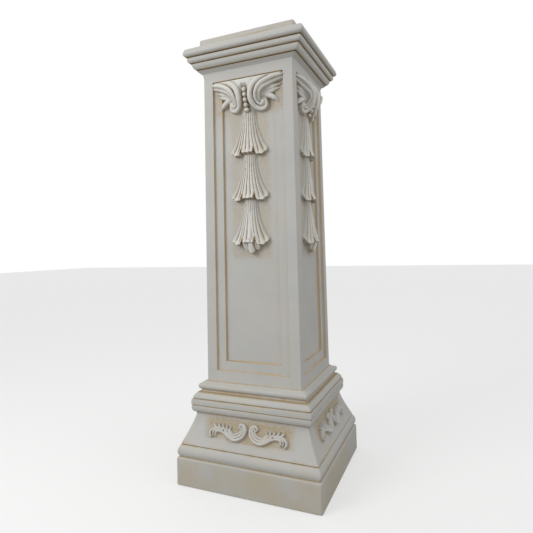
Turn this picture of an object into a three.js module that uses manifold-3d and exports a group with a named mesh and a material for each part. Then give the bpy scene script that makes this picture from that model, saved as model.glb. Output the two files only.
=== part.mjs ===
// Square pedestal column, cast in one piece: a square plinth, a flared base with
// scroll ornament, a panelled shaft with a leaf capital and a drop of three bells
// on each face, and a stepped cornice under a raised top slab.
// Millimetres, +Z up, the front face toward -Y, the origin under the plinth.
import * as THREE from 'three';
import { mergeVertices } from 'three/addons/utils/BufferGeometryUtils.js';
import Module from 'manifold-3d';

// Overall sizes
const HEIGHT = 1000;
const PLINTH_HALF = 167;
const PLINTH_TOP = 61;
const NECK_HALF = 132.4;
const NECK_Z = 151;
const SHAFT_BOTTOM = { half: 112.4, z: 226 };
const SLAB_HALF = 113.6;
const SLAB_HEIGHT = 22;
const CORNICE_HEIGHT = 57;
const SLAB_FOOT_Z = HEIGHT - SLAB_HEIGHT;
const SHAFT_TOP = { half: 107.2, z: SLAB_FOOT_Z - CORNICE_HEIGHT };

// Cornice: a small cove, then three rolls that each stand out further. Places are how
// far out and how far up from the top of the shaft
const COVE = { foot: [1.8, 0.6], corner: [6.3, 1.5], crown: [9, 7.5], groove: [10, 11] };
const CORNICE_ROLLS = [
  { foot: [12.8, 11.6], corner: [19.4, 15], crown: [20.3, 23.4], groove: [20, 24.4] },
  { foot: [22.8, 25], corner: [28.9, 27.5], crown: [27.6, 34.6], groove: [26, 36.6] },
  { foot: [29.3, 37.4], corner: [37.4, 40], crown: [33.4, 47.6], groove: [33, 48.6] },
];
const CORNICE_BACK = { foot: [33, 49], corner: [31.2, 54], crown: [26, 55] };

// Panel on each face, a shallow frame with a deeper field inside it
const OUTER_PANEL = { top: 899, bottom: 249, halfTop: 83.5, halfBottom: 86.5, depth: 7 };
const FIELD_BORDER = 21;
const FIELD_DEPTH = 14;
const PANEL_SLOPE = 1.5;

// Bells of the drop, from their neck down to their hem
const BELL_LENGTH = 104;
const BELL_NECKS = [834, 734, 637];
const BELL_HALF_NECK = 18;
const BELL_HALF_HEM = 46;
const BELL_RISE_NECK = 10;
const BELL_RISE_HEMS = [20, 21, 25];
const BELL_TIP_RISE = 5;
const FLUTES = 7;
const BELL_ROWS = [0, 0.5, 0.8, 1];

// Capital: heights are given above the field of the panel
const CAPITAL_FOOT = 826;
const CAPITAL_TOP = 897;
const CAPITAL_RISES = [14, 23, 29, 16];
const BEAD_COUNT = 5;
const BEAD_TOP_Z = 867.5;
const BEAD_PITCH = 10.2;
const BEAD_RADIUS = 5.6;
const BEAD_RISE_TOP = 27.8;
const BEAD_RISE_FOOT = 16;

// Flare of the base, along which the scroll is laid from its foot upward
const FLARE_FOOT = { half: 158.2, z: 90 };

// How far the back of a raised stroke lies under the surface that carries it
const STROKE_SINK = 4;

const SIDES = 4;

// Straight run of numbers read off at a share of its length
function blend(values, share) {
  const place = share * (values.length - 1);
  const index = Math.min(Math.floor(place), values.length - 2);
  return THREE.MathUtils.lerp(values[index], values[index + 1], place - index);
}

// Rounded moulding between two profile points: a curve pulled toward a corner point
function roll(from, corner, to, steps) {
  const curve = new THREE.QuadraticBezierCurve(
    new THREE.Vector2(...from),
    new THREE.Vector2(...corner),
    new THREE.Vector2(...to),
  );
  return curve.getPoints(steps);
}

// Half width of the flare at a height, hollow above and straight below
const flareCurve = new THREE.CubicBezierCurve(
  new THREE.Vector2(FLARE_FOOT.half, FLARE_FOOT.z),
  new THREE.Vector2(149.5, 108),
  new THREE.Vector2(137, 133),
  new THREE.Vector2(NECK_HALF, NECK_Z),
);

// Outline of the cornice, from the cove up to the foot of the slab
function corniceProfile() {
  const place = ([out, up]) => [SHAFT_TOP.half + out, SHAFT_TOP.z + up];
  const member = ({ foot, corner, crown }, steps) => (
    roll(place(foot), place(corner), place(crown), steps)
  );
  const points = [...member(COVE, 2), new THREE.Vector2(...place(COVE.groove))];
  for (const part of CORNICE_ROLLS) {
    points.push(...member(part, 3), new THREE.Vector2(...place(part.groove)));
  }
  points.push(...member(CORNICE_BACK, 2));
  return points;
}

// Outline of one side as half widths and heights, from the underside to the top
function bodyProfile() {
  return [
    new THREE.Vector2(0, 0),
    ...roll([PLINTH_HALF - 2, 0], [PLINTH_HALF, 0], [PLINTH_HALF, 2], 1),
    ...roll([PLINTH_HALF - 1, PLINTH_TOP - 3], [PLINTH_HALF - 1.2, PLINTH_TOP], [162, PLINTH_TOP + 0.6], 1),
    ...roll([161.6, 63.4], [169.5, 74], [159, 87.4], 4),
    new THREE.Vector2(156.9, 88.6),
    ...flareCurve.getPoints(4),
    new THREE.Vector2(NECK_HALF + 0.4, NECK_Z + 5),
    ...roll([133.6, 156.4], [141.8, 158.5], [140.6, 171], 3),
    new THREE.Vector2(138.8, 172.4),
    new THREE.Vector2(140.9, 174),
    new THREE.Vector2(140.3, 185),
    new THREE.Vector2(137, 186.6),
    ...roll([138, 188.4], [137.2, 194.5], [129.5, 200], 2),
    ...roll([126.5, 200.6], [121.5, 203], [124.6, 207], 2),
    ...roll([126.4, 207.6], [130.4, 212], [127, 217.4], 3),
    new THREE.Vector2(114.2, 223.4),
    new THREE.Vector2(SHAFT_BOTTOM.half, SHAFT_BOTTOM.z),
    new THREE.Vector2(SHAFT_TOP.half, SHAFT_TOP.z),
    ...corniceProfile(),
    new THREE.Vector2(SLAB_HALF + 0.6, SLAB_FOOT_Z),
    ...roll([SLAB_HALF - 0.4, HEIGHT - 3], [SLAB_HALF - 0.6, HEIGHT], [SLAB_HALF - 3.4, HEIGHT], 2),
    new THREE.Vector2(0, HEIGHT),
  ];
}

// Half width of the plain shaft at a height
function shaftHalf(z) {
  const share = (z - SHAFT_BOTTOM.z) / (SHAFT_TOP.z - SHAFT_BOTTOM.z);
  return THREE.MathUtils.lerp(SHAFT_BOTTOM.half, SHAFT_TOP.half, share);
}

// Places on the front: across, up, and out from the field of the panel
function onPanel(across, up, out) {
  return new THREE.Vector3(across, -(shaftHalf(up) - FIELD_DEPTH + out), up);
}

// Places on the flare: across, along its slope from the foot, and out from it
const flareRun = flareCurve.getLength();
function onFlare(across, along, out) {
  const share = THREE.MathUtils.clamp(along / flareRun, 0, 1);
  const point = flareCurve.getPointAt(share);
  const tangent = flareCurve.getTangentAt(share);
  return new THREE.Vector3(across, -(point.x + tangent.y * out), point.y - tangent.x * out);
}

// Closed solid from a grid of front points and the same grid pushed back
function gridSolid(columns, rows, front, back) {
  const positions = [];
  for (const place of [front, back]) {
    for (let row = 0; row <= rows; row++) {
      for (let column = 0; column <= columns; column++) {
        positions.push(...place(column / columns, row / rows).toArray());
      }
    }
  }
  const stride = columns + 1;
  const behind = stride * (rows + 1);
  const index = [];
  const quad = (a, b, c, d) => index.push(a, b, c, a, c, d);
  for (let row = 0; row < rows; row++) {
    for (let column = 0; column < columns; column++) {
      const a = row * stride + column;
      quad(a, a + 1, a + 1 + stride, a + stride);
      quad(behind + a, behind + a + stride, behind + a + 1 + stride, behind + a + 1);
    }
  }
  const rim = [];
  for (let column = 0; column < columns; column++) rim.push(column);
  for (let row = 0; row < rows; row++) rim.push(row * stride + columns);
  for (let column = columns; column > 0; column--) rim.push(rows * stride + column);
  for (let row = rows; row > 0; row--) rim.push(row * stride);
  rim.forEach((point, step) => {
    const next = rim[(step + 1) % rim.length];
    quad(point, behind + point, behind + next, next);
  });
  return closedGeometry(positions, index);
}

// Indexed geometry with its faces turned outward
function closedGeometry(positions, index) {
  const corner = (place) => new THREE.Vector3().fromArray(positions, index[place] * 3);
  let volume = 0;
  for (let place = 0; place < index.length; place += 3) {
    volume += corner(place).dot(corner(place + 1).cross(corner(place + 2)));
  }
  const turned = volume < 0 ? index.slice().reverse() : index;
  const geometry = new THREE.BufferGeometry();
  geometry.setAttribute('position', new THREE.Float32BufferAttribute(positions, 3));
  geometry.setIndex(turned);
  return geometry;
}

// Section of a raised stroke, from one foot over the crest to the other foot, both a
// little under the surface that it lies on, as shares of its half width and crest
const RIDGE = [[-1, -0.25], [0, 1], [1, -0.25]];

// Raised stroke along a curve
function stroke(place, { points, half, crest, steps }) {
  const curve = new THREE.SplineCurve(points.map(([x, y]) => new THREE.Vector2(x, y)));
  const at = (column, share, under) => {
    const [side, rise] = RIDGE[Math.round(column * (RIDGE.length - 1))];
    const middle = curve.getPoint(share);
    const along = curve.getTangent(share);
    const reach = side * blend(half, share);
    const out = under ? -STROKE_SINK : rise * blend(crest, share);
    return place(middle.x - along.y * reach, middle.y + along.x * reach, out);
  };
  const front = (column, row) => at(column, row, false);
  const back = (column, row) => at(column, row, true);
  return gridSolid(RIDGE.length - 1, steps, front, back);
}

// Mirrors a stroke across the middle of its face
function mirrored(shape) {
  return { ...shape, points: shape.points.map(([x, y]) => [-x, y]) };
}

// One fluted bell: narrow at its neck, with a scalloped hem that stands proud
function bell(neckZ, tier) {
  const columns = FLUTES * 2;
  const halfWidth = (share) => THREE.MathUtils.lerp(BELL_HALF_NECK, BELL_HALF_HEM, share ** 2.3);
  const rows = BELL_ROWS.length - 1;
  const front = (column, place) => {
    const row = BELL_ROWS[Math.round(place * rows)];
    const side = column * 2 - 1;
    const step = Math.round(column * columns);
    const groove = step % 2 === 0;
    const rise = THREE.MathUtils.lerp(BELL_RISE_NECK, BELL_RISE_HEMS[tier], row ** 1.3);
    const dome = BELL_TIP_RISE + (rise - BELL_TIP_RISE) * Math.sqrt(1 - side ** 2);
    const hem = row * (BELL_LENGTH - 12 * side ** 4 - (groove ? 4 * row ** 4 : 0));
    const foot = step === 0 || step === columns;
    const out = foot ? -1 : dome - (groove ? 2.6 : 0);
    return onPanel(side * halfWidth(row), neckZ - hem, out);
  };
  const back = (column, row) => {
    const point = front(column, row);
    return onPanel(point.x, point.z, -STROKE_SINK);
  };
  return gridSolid(columns, rows, front, back);
}

// Three small pointed lobes that end the drop
function dropTip() {
  const lobes = [[-13, 519], [13, 519], [0, 509]];
  const root = 545;
  return lobes.map(([across, tip]) => stroke(onPanel, {
    points: [[across * 0.6, root], [across * 0.9, (root + tip) / 2], [across, tip]],
    half: [9, 9, 5],
    crest: [18, 18, 12],
    steps: 2,
  }));
}

// Wing of the capital: an outer rim that wraps the volute, an inner band that curls
// from the upper corner into the eye, and two leaves that spring from inside the curl
const WING = [
  {
    points: [[46, 888], [28, 880], [17.5, 867], [14.8, 850], [17, 834.5], [25, 825.5],
      [34, 821.5], [43, 828]],
    half: [4, 6.5, 6.8, 6.4, 5.8, 5.2, 4.8, 3.4],
    crest: [30, 36, 37, 35, 28, 20, 15, 13],
    steps: 6,
  },
  {
    points: [[80, 890], [62, 883.5], [46, 876], [32, 864], [25.5, 850], [27, 838],
      [34, 832.5], [39.5, 838], [35, 844]],
    half: [3, 7, 7.5, 7.5, 6, 5, 5, 5, 4.5],
    crest: [15, 28, 36, 39, 33, 23, 17, 16, 16],
    steps: 7,
  },
  {
    points: [[32, 853], [44, 859], [56, 863.5], [76, 872]],
    half: [4.5, 7.5, 7.5, 2.5],
    crest: [24, 20, 17, 10],
    steps: 2,
  },
  {
    points: [[42, 853], [55, 850.5], [66, 844], [75, 834]],
    half: [3.5, 7, 6.5, 2.2],
    crest: [15, 16, 14, 9],
    steps: 2,
  },
];

// Mass of the capital behind the wings, leaning outward toward its top
function capitalBed() {
  const front = (column, row) => {
    const side = column * 2 - 1;
    const up = THREE.MathUtils.lerp(CAPITAL_FOOT, CAPITAL_TOP, row);
    const half = THREE.MathUtils.lerp(22, 80, row ** 1.6);
    const out = blend(CAPITAL_RISES, row) * (1 - 0.52 * side ** 2);
    return onPanel(side * half, up, out);
  };
  const back = (column, row) => {
    const point = front(column, row);
    return onPanel(point.x, point.z, -STROKE_SINK);
  };
  return gridSolid(4, CAPITAL_RISES.length - 1, front, back);
}

// String of beads down the middle of the capital
function beads() {
  const string = [];
  for (let count = 0; count < BEAD_COUNT; count++) {
    const share = count / (BEAD_COUNT - 1);
    const bead = new THREE.SphereGeometry(BEAD_RADIUS - share, 5, 2);
    const rise = THREE.MathUtils.lerp(BEAD_RISE_TOP, BEAD_RISE_FOOT, share);
    const centre = onPanel(0, BEAD_TOP_Z - count * BEAD_PITCH, rise);
    bead.translate(centre.x, centre.y, centre.z);
    string.push(bead);
  }
  return string;
}

// Half of the scroll on the flare: a C-scroll whose head curls up by the middle, a
// second strand inside it, and the lobes that spray from its far end
const SCROLL_STEM = {
  points: [[17, 53], [19, 57], [13, 60.5], [6, 56], [4.2, 46], [9, 34],
    [19, 25.5], [31, 23.5], [43, 28], [55, 35.5], [67, 38]],
  half: [3.4, 3.6, 3.8, 4, 4.4, 4.8, 5, 5.2, 5, 4.6, 3.6],
  crest: [7, 7, 7.5, 7.5, 8, 8, 8, 8, 7.5, 7, 5.5],
  steps: 9,
};
const SCROLL_STRAND = {
  points: [[10, 45], [17, 35.5], [30, 32.5], [43, 36], [55, 42]],
  half: [3, 4.8, 5.4, 5, 3],
  crest: [5.5, 6, 6.5, 6, 5],
  steps: 4,
};
const SCROLL_LOBES = [
  [[[46, 34], [52, 42], [49, 51]], 4.2, 6],
  [[[58, 39], [66, 44], [66, 53]], 4.2, 6],
  [[[64, 39], [76, 43], [84, 51]], 4.6, 6.5],
  [[[64, 38], [76, 37], [80, 27]], 4.6, 6],
  [[[68, 40], [80, 40.5], [88, 34], [86, 25]], 4.4, 6.5],
];

function scrollStrokes() {
  const lobes = SCROLL_LOBES.map(([points, half, crest]) => ({
    points,
    half: [half * 0.9, half, half * 0.7],
    crest: [crest * 0.9, crest, crest * 0.7],
    steps: points.length - 1,
  }));
  return [SCROLL_STEM, SCROLL_STRAND, ...lobes];
}

// Everything raised on one face, the front one
function faceOrnament() {
  const wings = [...WING, ...WING.map(mirrored)].map((shape) => stroke(onPanel, shape));
  const halfScroll = scrollStrokes();
  const scrolls = [...halfScroll, ...halfScroll.map(mirrored)].map((shape) => stroke(onFlare, shape));
  return [capitalBed(), ...wings, ...beads(), ...BELL_NECKS.map(bell), ...dropTip(), ...scrolls];
}

// Tapered block that sinks a panel into the front face, its walls leaning outward
function panelCutter(top, bottom, halfTop, halfBottom, from, to) {
  const front = (column, row) => {
    const up = THREE.MathUtils.lerp(bottom, top, row);
    const half = THREE.MathUtils.lerp(halfBottom, halfTop, row);
    const lean = (row * 2 - 1) * PANEL_SLOPE;
    return new THREE.Vector3(
      (column * 2 - 1) * (half + PANEL_SLOPE),
      -(shaftHalf(up) - from + 1),
      up + lean * (1 + 1 / (to - from)),
    );
  };
  const back = (column, row) => {
    const up = THREE.MathUtils.lerp(bottom, top, row);
    const half = THREE.MathUtils.lerp(halfBottom, halfTop, row);
    return new THREE.Vector3((column * 2 - 1) * half, -(shaftHalf(up) - to), up);
  };
  return gridSolid(1, 1, front, back);
}

function panelCutters() {
  const { top, bottom, halfTop, halfBottom, depth } = OUTER_PANEL;
  return [
    panelCutter(top, bottom, halfTop, halfBottom, 0, depth),
    panelCutter(
      top - FIELD_BORDER,
      bottom + FIELD_BORDER,
      halfTop - FIELD_BORDER,
      halfBottom - FIELD_BORDER,
      depth,
      FIELD_DEPTH,
    ),
  ];
}

// Boolean joins and cuts
const wasm = await Module();
wasm.setup();

function solidOf(geometry, side = 0) {
  const bare = geometry.clone();
  bare.deleteAttribute('normal');
  bare.deleteAttribute('uv');
  bare.rotateZ(side * Math.PI / 2);
  const merged = mergeVertices(bare, 1e-4);
  return new wasm.Manifold(new wasm.Mesh({
    numProp: 3,
    vertProperties: new Float32Array(merged.attributes.position.array),
    triVerts: new Uint32Array(merged.index.array),
  }));
}

// The square body: a four-sided turning of the profile, its corners on the diagonals
function bodySolid() {
  const profile = bodyProfile().map(({ x, y }) => new THREE.Vector2(x * Math.SQRT2, y));
  const turned = new THREE.LatheGeometry(profile, SIDES, Math.PI / 4, Math.PI * 2);
  turned.rotateX(Math.PI / 2);
  return solidOf(turned);
}

let column = bodySolid();
for (let side = 0; side < SIDES; side++) {
  for (const cutter of panelCutters()) column = column.subtract(solidOf(cutter, side));
}
for (let side = 0; side < SIDES; side++) {
  for (const ornament of faceOrnament()) column = column.add(solidOf(ornament, side));
}

// The finished solid as a three.js geometry
const result = column.getMesh();
const geometry = new THREE.BufferGeometry();
geometry.setAttribute('position', new THREE.Float32BufferAttribute(result.vertProperties, 3));
geometry.setIndex(new THREE.Uint32BufferAttribute(result.triVerts, 1));
geometry.computeVertexNormals();

const castStone = new THREE.MeshStandardMaterial({ color: 0xb9b5a9, roughness: 0.72, metalness: 0 });
const pedestalColumn = new THREE.Mesh(geometry, castStone);
pedestalColumn.name = 'pedestal_column';

const group = new THREE.Group();
group.add(pedestalColumn);

export default group;
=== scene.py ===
"""Square pedestal column, one antiqued casting, seen as in the photograph.

The surface is a ring of rows and columns wrapped round a square profile. Curves that
follow those of the CAD solid raise the capital, the drop of bells and the scroll from
it, with the finer grooves, beads and hems added. Lengths are millimetres until the mesh
is made, +Z is up and the front face looks toward -Y.
"""

import math
from types import SimpleNamespace

import bpy
import numpy as np
from mathutils import Matrix, Vector


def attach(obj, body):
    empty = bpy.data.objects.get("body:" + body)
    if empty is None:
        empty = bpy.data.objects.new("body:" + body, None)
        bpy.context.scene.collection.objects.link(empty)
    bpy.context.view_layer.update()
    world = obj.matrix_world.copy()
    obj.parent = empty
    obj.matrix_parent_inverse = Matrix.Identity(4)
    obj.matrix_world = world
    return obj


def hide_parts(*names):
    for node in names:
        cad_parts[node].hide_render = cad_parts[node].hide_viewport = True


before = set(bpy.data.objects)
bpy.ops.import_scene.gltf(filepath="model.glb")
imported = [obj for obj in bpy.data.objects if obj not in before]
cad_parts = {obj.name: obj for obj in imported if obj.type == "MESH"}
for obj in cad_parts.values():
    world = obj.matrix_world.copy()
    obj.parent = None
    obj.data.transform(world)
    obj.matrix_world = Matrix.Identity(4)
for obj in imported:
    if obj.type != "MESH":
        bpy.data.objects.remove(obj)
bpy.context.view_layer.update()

MM = 0.001
TRIANGLES = 196000
SHARP_ANGLE = 50.0

# Overall sizes, as in the solid
HEIGHT = 1000.0
PLINTH_HALF = 167.0
PLINTH_TOP = 61.0
FLARE_FOOT_HALF, FLARE_FOOT_Z = 158.2, 90.0
NECK_HALF, NECK_Z = 132.4, 151.0
SHAFT_BOTTOM_HALF, SHAFT_BOTTOM_Z = 112.4, 226.0
SHAFT_TOP_HALF, SHAFT_TOP_Z = 107.2, 921.0
SLAB_HALF = 113.6
SLAB_FOOT_Z = 978.0

# Rounding of the upright corners, and what the plinth and the slab add to it
CORNER_RADIUS = 2.6
PLINTH_MORE_RADIUS = 2.4
SLAB_MORE_RADIUS = 1.0

# Plinth and mouldings of the base, as points of half width and height
PLINTH_EDGE = 2.4
PLINTH_SHOULDER = (
    (PLINTH_HALF - 1, PLINTH_TOP - 3),
    (PLINTH_HALF - 1.2, PLINTH_TOP),
    (162, PLINTH_TOP + 0.6),
)
HALF_ROUND = ((161.6, 63.4), (169.5, 74), (159, 87.4))
HALF_ROUND_GROOVE = (156.9, 88.6)
FLARE = ((FLARE_FOOT_HALF, FLARE_FOOT_Z), (149.5, 108), (137, 133), (NECK_HALF, NECK_Z))
NECK_LIP = (NECK_HALF + 0.4, NECK_Z + 5)
BAND = ((133.6, 156.4), (141.8, 158.5), (140.6, 171))
BAND_GROOVE = ((138.8, 172.4), (139.6, 173.4))
FILLET = ((140.9, 174), (141.6, 180), (140.3, 185))
FILLET_GROOVE = (137, 186.6)
OVOLO = ((138, 188.4), (137.2, 194.5), (129.5, 200))
SCOTIA = ((126.5, 200.6), (121.5, 203), (124.6, 207))
NOSING = ((126.4, 207.6), (130.4, 212), (127, 217.4))
SHAFT_FOOT = ((127, 217.4), (119.5, 219.5), (114.2, 223.4))

# Cornice members, as how far out and how far up from the top of the shaft
COVE_START_Z, COVE_OUT = 908.0, 1.9
COVE = dict(foot=(COVE_OUT + 0.3, 0.6), corner=(5.0, 3.0), crown=(11.0, 7.0), groove=(9.0, 9.2))
CORNICE_ROLLS = (
    dict(foot=(12.8, 9.8), corner=(19.4, 13.2), crown=(20.3, 21.4), groove=(19, 22.6)),
    dict(foot=(22.8, 23.2), corner=(28.9, 25.8), crown=(27.6, 33.4), groove=(25.2, 35.4)),
    dict(foot=(29.3, 36.2), corner=(37.4, 38.8), crown=(33.4, 47.6), groove=(33, 48.6)),
)
CORNICE_BACK = ((33, 49), (31.2, 54), (26, 55))

# Top slab, as points of half width and height
SLAB_FOOT = (SLAB_HALF + 0.6, SLAB_FOOT_Z)
SLAB_EDGE = ((SLAB_HALF - 0.4, HEIGHT - 4), (SLAB_HALF - 0.6, HEIGHT), (SLAB_HALF - 4.6, HEIGHT))

# Panel of each face: its two steps, a little shallower than in the solid, fall over WALL
PANEL_TOP, PANEL_BOTTOM = 899.0, 249.0
PANEL_HALF_TOP, PANEL_HALF_BOTTOM = 83.5, 86.5
FRAME_DEPTH, FIELD_DEPTH = 5.5, 11.0
FIELD_BORDER = 21.0
WALL = 1.1

# Carving on the shaft is measured from a plane this far behind the shaft's face
FACE_RISE = 14.0

# Heights from which the rows of the shaft lie closer, for the drop and then the capital
DROP_ROWS_Z = 502
CAPITAL_ROWS_Z = 812

# Half widths that hold the close columns, and how many columns lie between stops
DROP_HALF = 48.0
SCROLL_HALF = 100.0
SHAFT_CELLS = (54, 14, 2, 14, 2, 4)
LOWER_CELLS = (82, 8)
ARC_CELLS = 3
FLARE_CELLS = 56

# How much of its own height a point keeps when it is softened, and takes from each neighbour
KEPT, TAKEN = 0.4, 0.15


def bezier(*points, steps):
    """Points on the curve that these control points pull."""
    share = np.linspace(0, 1, steps + 1)[:, None]
    order = len(points) - 1
    return sum(
        math.comb(order, k) * (1 - share) ** (order - k) * share**k * np.array(p, float)
        for k, p in enumerate(points)
    )


def lerp(a, b, share):
    """Value that lies this share of the way from a to b."""
    return a + (b - a) * share


def smooth(low, high, value):
    """Smooth step from 0 at low to 1 at high."""
    share = np.clip((value - low) / (high - low), 0, 1)
    return share * share * (3 - 2 * share)


def bump_at(place, width, value):
    """Bell curve that is 1 where value is at place."""
    return np.exp(-(((value - place) / width) ** 2))


# Profile


def levels(start, *runs):
    """Heights from start through each (end, pitch) run."""
    out = [start]
    for end, pitch in runs:
        count = max(1, round((end - out[-1]) / pitch))
        out.extend(np.linspace(out[-1], end, count + 1)[1:])
    return out


def shaft_half(z):
    """Half width of the plain shaft at a height."""
    share = (z - SHAFT_BOTTOM_Z) / (SHAFT_TOP_Z - SHAFT_BOTTOM_Z)
    return lerp(SHAFT_BOTTOM_HALF, SHAFT_TOP_HALF, share)


def shaft_rows():
    """Rows of the shaft, close where the relief lies and on every panel edge."""
    z = np.array(
        levels(
            SHAFT_BOTTOM_Z,
            (PANEL_BOTTOM - WALL, 5),
            (PANEL_BOTTOM, WALL / 2),
            (PANEL_BOTTOM + FIELD_BORDER - WALL, 5),
            (PANEL_BOTTOM + FIELD_BORDER, WALL / 2),
            (DROP_ROWS_Z, 6),
            (CAPITAL_ROWS_Z, 1.4),
            (PANEL_TOP - FIELD_BORDER, 1.0),
            (PANEL_TOP - FIELD_BORDER + WALL, WALL / 2),
            (PANEL_TOP, 1.0),
            (PANEL_TOP + WALL, WALL / 2),
            (SHAFT_TOP_Z, 5),
        )
    )
    cove = COVE_OUT * smooth(COVE_START_Z, 2 * SHAFT_TOP_Z - COVE_START_Z, z) * 2
    return np.column_stack([shaft_half(z) + cove, z])


def even_flare(steps):
    """Flare curve at even distances along it, and those distances."""
    fine = bezier(*FLARE, steps=400)
    run = np.concatenate([[0], np.cumsum(np.hypot(*np.diff(fine, axis=0).T))])
    even = np.linspace(0, run[-1], steps + 1)
    points = np.column_stack([np.interp(even, run, fine[:, k]) for k in (0, 1)])
    return points, even


def straight(start, end, pitch):
    """Points between two profile points, both left out."""
    start, end = np.array(start, float), np.array(end, float)
    count = max(1, round(math.dist(start, end) / pitch))
    share = np.linspace(0, 1, count + 1)[1:-1, None]
    return start + (end - start) * share


def cornice_rows():
    """Rows of the cornice, from its cove to the back of its top member."""
    parts = []
    for member in (COVE, *CORNICE_ROLLS):
        parts.append(bezier(member["foot"], member["corner"], member["crown"], steps=7))
        parts.append([member["groove"]])
    parts.append(bezier(*CORNICE_BACK, steps=5))
    places = np.vstack([np.array(part, float).reshape(-1, 2) for part in parts])
    return places + (SHAFT_TOP_HALF, SHAFT_TOP_Z)


def profile(flare):
    """Half width and height of every row, from the edge of the underside to the top."""
    plinth_foot = ((PLINTH_HALF - PLINTH_EDGE, 0), (PLINTH_HALF, 0), (PLINTH_HALF, PLINTH_EDGE))
    cornice = cornice_rows()
    parts = [
        bezier(*plinth_foot, steps=3),
        straight(plinth_foot[-1], PLINTH_SHOULDER[0], 4),
        bezier(*PLINTH_SHOULDER, steps=4),
        bezier(*HALF_ROUND, steps=12),
        HALF_ROUND_GROOVE,
        flare,
        straight((NECK_HALF, NECK_Z), NECK_LIP, 2),
        NECK_LIP,
        bezier(*BAND, steps=9),
        BAND_GROOVE,
        bezier(*FILLET, steps=3),
        FILLET_GROOVE,
        bezier(*OVOLO, steps=6),
        bezier(*SCOTIA, steps=5),
        bezier(*NOSING, steps=6),
        bezier(*SHAFT_FOOT, steps=4)[1:],
        shaft_rows(),
        cornice,
        straight(cornice[-1], SLAB_FOOT, 4),
        SLAB_FOOT,
        straight(SLAB_FOOT, SLAB_EDGE[0], 4),
        bezier(*SLAB_EDGE, steps=5),
    ]
    return np.vstack([np.array(part, float).reshape(-1, 2) for part in parts])


flare_points, flare_along = even_flare(FLARE_CELLS)
rows = profile(flare_points)
row_half, row_z = rows[:, 0], rows[:, 1]
row_count = len(rows)
first_shaft = int(np.argmin(abs(row_z - SHAFT_BOTTOM_Z)))
last_shaft = int(np.argmin(abs(row_z - SHAFT_TOP_Z)))
first_flare = int(np.argmin(np.hypot(row_half - FLARE_FOOT_HALF, row_z - FLARE_FOOT_Z)))
last_flare = first_flare + FLARE_CELLS


def profile_normals():
    """Outward normal of every row, as (outward, upward)."""
    along = np.gradient(rows, axis=0)
    along /= np.linalg.norm(along, axis=1)[:, None]
    return np.column_stack([along[:, 1], -along[:, 0]])


# Columns of one face


def panel_halves(z):
    """Half widths of the field's floor and of the frame's floor at a height."""
    share = (z - PANEL_BOTTOM) / (PANEL_TOP - PANEL_BOTTOM)
    share = np.clip(share, 0, 1)
    frame_half = lerp(PANEL_HALF_BOTTOM, PANEL_HALF_TOP, share)
    return frame_half - FIELD_BORDER, frame_half


def spread(stops, cells):
    """Columns between stops, which hold one value for each row."""
    columns = [stops[0][:, None]]
    for start, end, count in zip(stops, stops[1:], cells):
        share = np.linspace(0, 1, count + 1)[1:]
        columns.append(start[:, None] + (end - start)[:, None] * share)
    return np.hstack(columns)


def corner_radii():
    """Rounding of the corners: small on the mouldings, larger on plinth and slab."""
    radius = np.full(row_count, CORNER_RADIUS)
    radius += PLINTH_MORE_RADIUS * (1 - smooth(10, PLINTH_TOP, row_z))
    radius += SLAB_MORE_RADIUS * smooth(SLAB_FOOT_Z - 2, SLAB_FOOT_Z + 4, row_z)
    return radius


def half_face():
    """Places across and outward of each row, from the middle to the corner."""
    radius = corner_radii()
    straight_end = row_half - radius
    field_half, frame_half = panel_halves(row_z)
    zero = np.zeros(row_count)
    shaft_stops = (
        zero,
        zero + DROP_HALF,
        field_half,
        field_half + WALL,
        frame_half,
        frame_half + WALL,
        straight_end,
    )
    lower_stops = (zero, zero + SCROLL_HALF, straight_end)
    upward = smooth(NECK_Z, SHAFT_BOTTOM_Z, row_z)[:, None]
    across = lerp(spread(lower_stops, LOWER_CELLS), spread(shaft_stops, SHAFT_CELLS), upward)
    outward = np.repeat(row_half[:, None], across.shape[1], axis=1)
    turn = np.linspace(0, math.pi / 4, ARC_CELLS + 1)[1:]
    arc_across = straight_end[:, None] + radius[:, None] * np.sin(turn)
    arc_outward = straight_end[:, None] + radius[:, None] * np.cos(turn)
    return np.hstack([across, arc_across]), np.hstack([outward, arc_outward])


# Raised ornament

# Distance between the points tried along a stroke, and how far beyond its sides it reaches
STROKE_PITCH = 0.8
STROKE_MARGIN = 6


def spline(points, count):
    """Smooth curve through points, with the shares at which it was taken."""
    given = np.array(points, float)
    padded = np.vstack([given[:1], given, given[-1:]])
    share = np.linspace(0, 1, count)
    place = share * (len(given) - 1)
    index = np.minimum(place.astype(int), len(given) - 2)
    t = (place - index)[:, None]
    p0, p1, p2, p3 = (padded[index + k] for k in range(4))
    v0, v1 = (p2 - p0) / 2, (p3 - p1) / 2
    curve = (2 * p1 - 2 * p2 + v0 + v1) * t**3
    curve += (3 * p2 - 3 * p1 - 2 * v0 - v1) * t**2 + v0 * t + p1
    return curve, share


def along_stroke(values, share):
    """Values given at even distances along a stroke, taken at these shares of it."""
    return np.interp(share, np.linspace(0, 1, len(values)), values)


def mirrored(points):
    """Points on the other side of the middle."""
    return [(-x, y) for x, y in points]


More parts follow.
